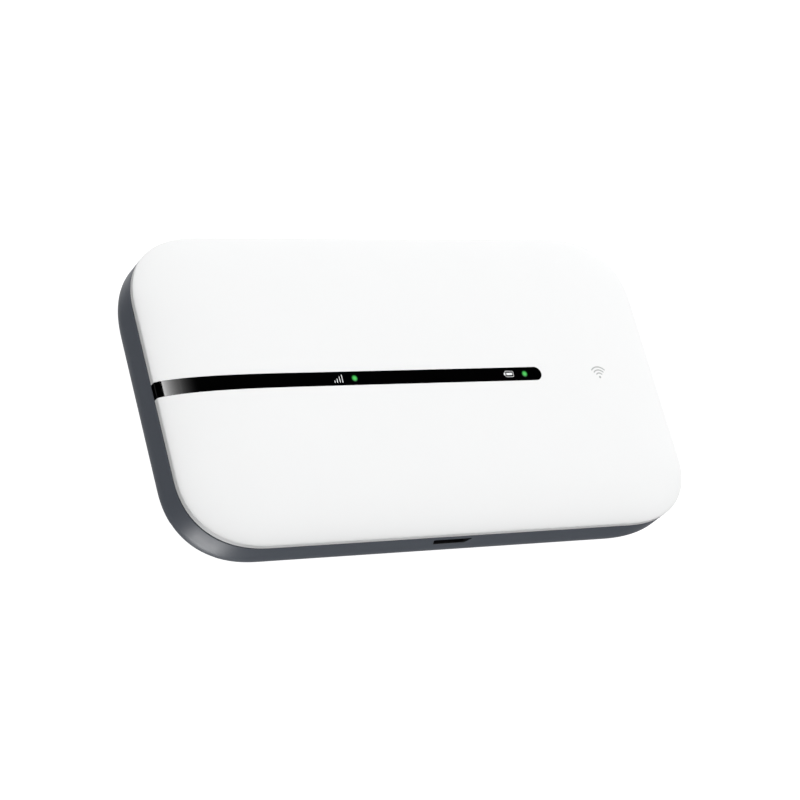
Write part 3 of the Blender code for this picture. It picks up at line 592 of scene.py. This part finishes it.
def make_light_window(name, x):
    """A slightly domed lit window set in the strip."""
    radius = 0.6 * MM
    bm = bmesh.new()
    rings = []
    for share, rise in ((1.0, -0.04), (1.0, 0.0), (0.8, 0.008), (0.5, 0.014), (0.2, 0.016)):
        z = surface_z(x) + rise * MM + PRINT_PROUD
        rings.append([
            bm.verts.new((x + radius * share * cos(a * pi / 16), radius * share * sin(a * pi / 16), z))
            for a in range(32)])
    for lower, upper in zip(rings, rings[1:]):
        for i in range(32):
            bm.faces.new((lower[i], lower[(i + 1) % 32], upper[(i + 1) % 32], upper[i]))
    bm.faces.new(rings[0])
    bm.faces.new(rings[-1])
    window = shade(from_bmesh(name, bm), 60)
    glow = glow_material(name, x, (0.085, 0.6, 0.115), (0.0, 0.01, 0.002))
    return place(window, "main_unit", "light_guide", glow)


def make_front_mark():
    """Three wireless arcs and a dot, printed in light grey near the +X end."""
    ink = moulded("mark_ink", (0.45, 0.46, 0.46), 0.04, (0.4, 0.5), 6000.0, 0.001 * MM)
    foot = Vector((36.3 * MM, -0.95 * MM))
    shapes = [[foot + 0.24 * MM * Vector((cos(k * pi / 10), sin(k * pi / 10))) for k in range(20)]]
    for radius in (0.8, 1.4, 2.0):
        path = [
            foot + radius * MM * Vector((sin(radians(a)), cos(radians(a)))) for a in range(-45, 46, 6)]
        shapes.append(stroke(path, 0.24 * MM))
    print_shapes("wireless_mark", shapes, ink, "grey_shell")


# ---------------------------------------------------------------- back cover and its openings

def port_outline(top, bottom, z_range, y, rounding, steps=5):
    """A plug-shaped outline across Y: wide on top, narrow below, with rounded corners."""
    corners = (
        (-bottom / 2, z_range[0]), (bottom / 2, z_range[0]),
        (top / 2, z_range[1]), (-top / 2, z_range[1]))
    points = []
    for i, corner in enumerate(corners):
        here = Vector(corner)
        before = here + (Vector(corners[i - 1]) - here).normalized() * rounding
        after = here + (Vector(corners[(i + 1) % 4]) - here).normalized() * rounding
        for step in range(steps):
            t = step / (steps - 1)
            bend = before * (1 - t) ** 2 + here * 2 * t * (1 - t) + after * t ** 2
            points.append((bend.x, y, bend.y))
    return points


def port_cutter():
    """The mouth through the wall, with a small lead-in at the outside."""
    rings = []
    for y, grow in ((-1.0, 0.1), (0.0, 0.1), (0.1, 0.0), (2.5, 0.0)):
        g = grow * MM
        rings.append(port_outline(
            PORT_TOP + 2 * g, PORT_BOTTOM + 2 * g, (PORT_Z[0] - g, PORT_Z[1] + g),
            -HALF_WIDTH + y * MM, 0.45 * MM))
    return loft("mouth", rings)


def pry_cutter():
    """A shallow thumbnail step low on the -X -Y corner."""
    bm = bmesh.new()
    corner = Vector((-HALF_LENGTH, -HALF_WIDTH))
    low, high = corner + Vector((1.2, 1.2)) * MM, corner + Vector((7.9, 8.3)) * MM
    z = -MM
    points = [
        (corner.x - MM, corner.y - MM, z), (high.x + 0.4 * MM, corner.y - MM, z),
        (high.x, low.y + 2 * MM, z), (low.x + 2 * MM, high.y, z), (corner.x - MM, high.y + 0.4 * MM, z)]
    add_prism(bm, points, (0, 0, 4.05 * MM))
    floor = tub_rings(PRY_DEPTH, RIM_Z, 20)
    return combine(from_bmesh("pry", bm), loft("pry_floor", floor))


def hook_boxes():
    """The eight snap hooks on the inside of the wall."""
    bm = bmesh.new()
    root = BACK_WALL / 2
    half = HOOK_HALF_WIDTH
    for side in (-1, 1):
        for along in (-1, 1):
            x = along * HOOK_X
            y = sorted((side * (HALF_WIDTH - root), side * (HALF_WIDTH - HOOK_REACH)))
            add_hook(bm, (x - half, y[0]), (x + half, y[1]), (0, -side))
            y = along * HOOK_Y
            x = sorted((side * (HALF_LENGTH - root), side * (HALF_LENGTH - HOOK_REACH)))
            add_hook(bm, (x[0], y - half), (x[1], y + half), (-side, 0))
    return from_bmesh("hooks", bm)


def add_hook(bm, low, high, inward):
    """A hook with a ramp on top: its tip's upper edge is pulled down."""
    before = set(bm.verts)
    add_box(bm, (*low, HOOK_Z[0]), (*high, HOOK_Z[1]))
    tip_x = max(low[0] * inward[0], high[0] * inward[0])
    tip_y = max(low[1] * inward[1], high[1] * inward[1])
    for vert in set(bm.verts) - before:
        reach = vert.co.x * inward[0] + vert.co.y * inward[1]
        if vert.co.z > HOOK_Z[0] + 0.1 * MM and reach > tip_x + tip_y - 0.1 * MM:
            vert.co.z -= HOOK_RAMP


def make_back_cover():
    cover = loft("back_cover_shell", tub_rings(0.0, RIM_Z, rounded=True))
    combine(cover, loft("inside", tub_rings(BACK_WALL, RIM_Z + MM, 14)))
    combine(cover, hook_boxes(), "UNION")
    combine(cover, port_cutter())
    button_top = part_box("power_button")[1][2]
    notch = bmesh.new()
    add_box(
        notch, (HALF_LENGTH - 1.6 * MM, -KEY_HALF[0] - KEY_GAP, button_top - 2 * KEY_HALF[1] - KEY_GAP),
        (HALF_LENGTH + MM, KEY_HALF[0] + KEY_GAP, RIM_Z + MM))
    combine(cover, from_bmesh("notch", notch))
    combine(cover, pry_cutter())
    shade(cover)
    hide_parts("back_cover")
    place(cover, "back_cover", "grey_shell", MATERIALS["grey_shell"])
    # Painted shade: the grey shell's own faces lining the port's mouth get the black connector plastic, so
    # the recess looks darker.
    cover.data.materials.append(MATERIALS["connector_plastic"])
    for face in cover.data.polygons:
        if is_in_mouth(face):
            face.material_index = 1
    return cover


def is_in_mouth(face):
    """Whether a face of the back cover lines the port's mouth."""
    x, y, z = face.center
    near = abs(x) < PORT_TOP / 2 + 0.15 * MM and y < -HALF_WIDTH + 1.5 * MM
    level = PORT_Z[0] - 0.15 * MM < z < PORT_Z[1] + 0.15 * MM
    return near and level and abs(face.normal.y) < 0.6


def make_power_button():
    """A softly rounded key with its flange and stem, and the standard power sign printed on it."""
    low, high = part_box("power_button")
    face_x = high[0]
    bm = bmesh.new()
    rings = []
    for depth, shrink in ((2.0, 0.0), (0.28, 0.0), (0.1, 0.07), (0.02, 0.2), (0.0, 0.42)):
        half_y, half_z = KEY_HALF[0] - shrink * MM, KEY_HALF[1] - shrink * MM
        flat = rounded_box((0.0, 0.0), half_y, half_z, 0.5 * MM - shrink * MM / 2, 8)
        rings.append([(face_x - depth * MM, y, KEY_MIDDLE_Z + z) for y, z in flat])
    key = loft("power_key", rings)
    add_box(bm, (low[0] + 1.2 * MM, low[1], low[2]), (low[0] + 1.9 * MM, high[1], FLANGE_TOP_Z))
    combine(key, from_bmesh("flange", bm), "UNION")
    bm = bmesh.new()
    add_box(bm, (low[0], -1.2 * MM, STEM_Z[0]), (low[0] + 1.6 * MM, 1.2 * MM, STEM_Z[1]))
    combine(key, from_bmesh("stem", bm), "UNION")
    shade(key)
    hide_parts("power_button")
    place(key, "power_button", "grey_shell", MATERIALS["grey_shell"])
    arc = [(0.62 * MM * sin(radians(a)), 0.62 * MM * cos(radians(a))) for a in range(40, 321, 14)]
    shapes = [stroke(arc, 0.16 * MM), stroke([(0.0, 0.12 * MM), (0.0, 0.78 * MM)], 0.16 * MM)]
    bm = bmesh.new()
    for shape in shapes:
        points = [(face_x + 0.008 * MM, p[0], KEY_MIDDLE_Z + p[1]) for p in shape]
        add_prism(bm, points, (-PRINT_DEPTH, 0, 0))
    ink = moulded("key_ink", (0.5, 0.52, 0.54), 0.04, (0.4, 0.5), 6000.0, 0.001 * MM)
    place(from_bmesh("power_sign", bm), "power_button", "white_cover", ink)


# ---------------------------------------------------------------- carried-over CAD nodes

def dress_nodes():
    """Every CAD node that stays gets its slot's material, and softened edges where it is boxy."""
    softened = {
        "chassis": 0.12, "main_board": 0.05, "baseband_shield": 0.18, "rf_shield": 0.18,
        "wifi_shield": 0.18, "power_shield": 0.18, "sim_socket_shell": 0.08,
        "charging_port_shell": 0.06, "thermal_pad": 0.1, "sim_contact_base": 0.06}
    for subpart in frame["record"]["subparts"]:
        piece = frame["nodes"][subpart["node"]]
        for i in range(max(1, len(piece.data.materials))):
            if len(piece.data.materials) <= i:
                piece.data.materials.append(None)
            piece.data.materials[i] = MATERIALS[subpart["material_slot"]]
        if subpart["node"] in softened:
            round_edges(piece, softened[subpart["node"]] * MM, 2)


# ---------------------------------------------------------------- small inner details

def make_port_contacts():
    """Five gold contacts under the receptacle's tongue."""
    low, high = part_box("charging_port_tongue")
    bm = bmesh.new()
    for i in range(5):
        x = (i - 2) * 0.65 * MM
        add_box(
            bm, (x - 0.17 * MM, low[1] + 0.1 * MM, low[2] - 0.05 * MM),
            (x + 0.17 * MM, high[1], low[2] + 0.03 * MM))
    place(from_bmesh("charging_port_contacts", bm), "main_unit", "gold_contacts", MATERIALS["gold_contacts"])


def make_battery_details():
    """Three gold terminals on the end cap and a row of printed bars on the label."""
    low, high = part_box("battery_end_cap")
    bm = bmesh.new()
    for y in (-2.0, 1.5, 5.0):
        add_box(
            bm, (low[0] - 0.04 * MM, (y - 0.8) * MM, 3.0 * MM), (low[0] + 0.2 * MM, (y + 0.8) * MM, 5.2 * MM))
    place(from_bmesh("battery_terminals", bm), "battery", "gold_contacts", MATERIALS["gold_contacts"])
    low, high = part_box("battery_label")
    ink = moulded("label_ink", (0.2, 0.22, 0.25), 0.1, (0.45, 0.55), 5000.0, 0.001 * MM)
    bm = bmesh.new()
    under = low[2] - 0.01 * MM
    for i in range(7):
        x = low[0] + (4 + 3.4 * i) * MM
        end_y = high[1] - (6 + 4 * (i % 3)) * MM
        add_box(bm, (x, low[1] + 4 * MM, under), (x + 1.1 * MM, end_y, under + 0.04 * MM))
    place(from_bmesh("battery_label_bars", bm), "battery", "blank_label", ink)


def make_board_parts():
    """Rows of small chip capacitors beside the shielding lids."""
    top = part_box("main_board")[1][2]
    ceramic = moulded("ceramic_body", (0.45, 0.33, 0.22), 0.15, (0.4, 0.55), 5000.0, 0.004 * MM)
    bodies, ends = bmesh.new(), bmesh.new()
    spots = []
    for i in range(9):
        spots.append(((-34 + 3.2 * i) * MM, -3.1 * MM, 0))
        spots.append(((3 + 3.0 * i) * MM, 3.3 * MM, 0))
        spots.append((41.5 * MM, (4.5 + 1.6 * i) * MM, 1))
    for x, y, turn in spots:
        length, width = (0.5 * MM, 0.28 * MM) if turn == 0 else (0.28 * MM, 0.5 * MM)
        rise = (0.45 + 0.15 * random.random()) * MM
        add_box(bodies, (x - length, y - width, top), (x + length, y + width, top + rise))
        for end in (-1, 1):
            shift = (end * 0.5 * MM, 0.0) if turn == 0 else (0.0, end * 0.5 * MM)
            half = (0.12 * MM, 0.3 * MM) if turn == 0 else (0.3 * MM, 0.12 * MM)
            cx, cy = x + shift[0], y + shift[1]
            add_box(
                ends, (cx - half[0], cy - half[1], top),
                (cx + half[0], cy + half[1], top + rise + 0.02 * MM))
    place(from_bmesh("chip_capacitors", bodies), "main_unit", "chip_package", ceramic)
    place(from_bmesh("chip_capacitor_ends", ends), "main_unit", "tinned_shield", MATERIALS["tinned_shield"])


def make_sim_contacts():
    """Six spring contacts on the SIM base, facing down towards the card."""
    low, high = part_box("sim_contact_base")
    bm = bmesh.new()
    for column in (-1, 0, 1):
        for row in (-1, 1):
            x = (low[0] + high[0]) / 2 + column * 2.54 * MM
            y = (low[1] + high[1]) / 2 + row * 3.2 * MM
            add_box(
                bm, (x - 0.5 * MM, y - 1.3 * MM, low[2] - 0.12 * MM),
                (x + 0.5 * MM, y + 1.3 * MM, low[2] + 0.02 * MM))
    place(from_bmesh("sim_contacts", bm), "main_unit", "gold_contacts", MATERIALS["gold_contacts"])


# ---------------------------------------------------------------- floor, lights and camera

def make_floor():
    material, tree, shader = new_material("pale_floor")
    where = object_space(tree)
    tint = noise(tree, where, 4.0)
    paint = blend_colours(tree, tint, (0.2, 0.2, 0.2), (0.22, 0.22, 0.22))
    tree.links.new(paint, shader.inputs["Base Color"])
    shader.inputs["Roughness"].default_value = 0.9
    shader.inputs["Emission Color"].default_value = (1.0, 1.0, 1.0, 1.0)
    shader.inputs["Emission Strength"].default_value = 1.05
    bm = bmesh.new()
    bmesh.ops.create_grid(bm, x_segments=1, y_segments=1, size=3.0)
    floor = from_bmesh("floor", bm)
    floor.location.z = -0.02 * MM
    floor.data.materials.append(material)
    floor.visible_shadow = False
    floor.visible_diffuse = False
    floor.visible_glossy = False


def area_light(name, direction, distance, size, power):
    """A soft box of the given width and height, facing the object from a direction."""
    light = bpy.data.lights.new(name, "AREA")
    light.shape = "RECTANGLE"
    light.size, light.size_y = size
    light.energy = power
    lamp = add_object(name, light)
    back = Vector(direction).normalized()
    lamp.location = back * distance
    lamp.rotation_euler = back.to_track_quat("Z", "Y").to_euler()
    return lamp


def fade_across(lamp):
    """Makes a soft box glow more towards one end, with the square of the distance from the other."""
    light = lamp.data
    light.use_nodes = True
    tree = light.node_tree
    across = tree.nodes.new("ShaderNodeSeparateXYZ")
    spot = tree.nodes.new("ShaderNodeNewGeometry")
    tree.links.new(spot.outputs["Parametric"], across.inputs["Vector"])
    square = arithmetic(tree, "MULTIPLY", across.outputs["X"], across.outputs["X"])
    tree.links.new(square, tree.nodes["Emission"].inputs["Strength"])


def arithmetic(tree, operation, first, second):
    """One Math node; the second operand is a socket or a number."""
    made = tree.nodes.new("ShaderNodeMath")
    made.operation = operation
    tree.links.new(first, made.inputs[0])
    if isinstance(second, float):
        made.inputs[1].default_value = second
    else:
        tree.links.new(second, made.inputs[1])
    return made.outputs["Value"]


def make_world():
    """A glow round the horizon, and one below it from beyond the +X +Y corner."""
    world = bpy.data.worlds.new("studio")
    bpy.context.scene.world = world
    world.use_nodes = True
    tree = world.node_tree
    where = tree.nodes.new("ShaderNodeTexCoord").outputs["Generated"]
    heading = tree.nodes.new("ShaderNodeSeparateXYZ")
    tree.links.new(where, heading.inputs["Vector"])
    height = heading.outputs["Z"]
    horizon = spread(tree, height, 1.0, 0.0, 0.25, 0.6)
    upper = arithmetic(tree, "MULTIPLY", horizon, arithmetic(tree, "GREATER_THAN", height, -0.02))
    behind = tree.nodes.new("ShaderNodeVectorMath")
    behind.operation = "DOT_PRODUCT"
    behind.inputs[1].default_value = (0.57, 0.82, 0.0)
    tree.links.new(where, behind.inputs[0])
    bounce = spread(tree, behind.outputs["Value"], 0.0, 1.0, 0.19, 0.57)
    lower = arithmetic(tree, "MULTIPLY", bounce, arithmetic(tree, "LESS_THAN", height, -0.02))
    tree.links.new(arithmetic(tree, "ADD", upper, lower), tree.nodes["Background"].inputs["Strength"])
    tree.nodes["Background"].inputs["Color"].default_value = (1.0, 1.0, 1.0, 1.0)


def make_lights():
    make_world()
    fade_across(area_light("top_box", (-0.0225, 0.387, 0.92), 1.2, (0.52, 0.5), 19.1))
    area_light("side_box", (0.403, 0.03, 0.915), 1.2, (0.5, 0.5), 8.05)
    under = area_light("under_box", (-0.245, -0.547, -0.8), 0.8, (0.47, 0.25), 3.2)
    under.data.cycles.use_multiple_importance_sampling = False


def make_camera():
    data = bpy.data.cameras.new("camera")
    data.lens = CAMERA_LENS
    data.sensor_width = 36.0
    data.clip_start = 0.01
    data.clip_end = 20.0
    camera = add_object("camera", data)
    azimuth, elevation, roll = (radians(angle) for angle in CAMERA_ANGLES)
    back = Vector((
        sin(azimuth) * cos(elevation), -cos(azimuth) * cos(elevation), sin(elevation)))
    camera.location = Vector(CAMERA_TARGET) * MM + back * CAMERA_DISTANCE
    level = (-back).to_track_quat("-Z", "Y")
    camera.rotation_mode = "QUATERNION"
    camera.rotation_quaternion = level @ Matrix.Rotation(roll, 3, "Z").to_quaternion()
    bpy.context.scene.camera = camera


bpy.context.scene.view_settings.view_transform = "Standard"
dress_nodes()
make_front_cover()
make_strip()
make_icons()
make_front_mark()
make_back_cover()
make_power_button()
make_port_contacts()
make_battery_details()
make_board_parts()
make_sim_contacts()
make_floor()
make_lights()
make_camera()
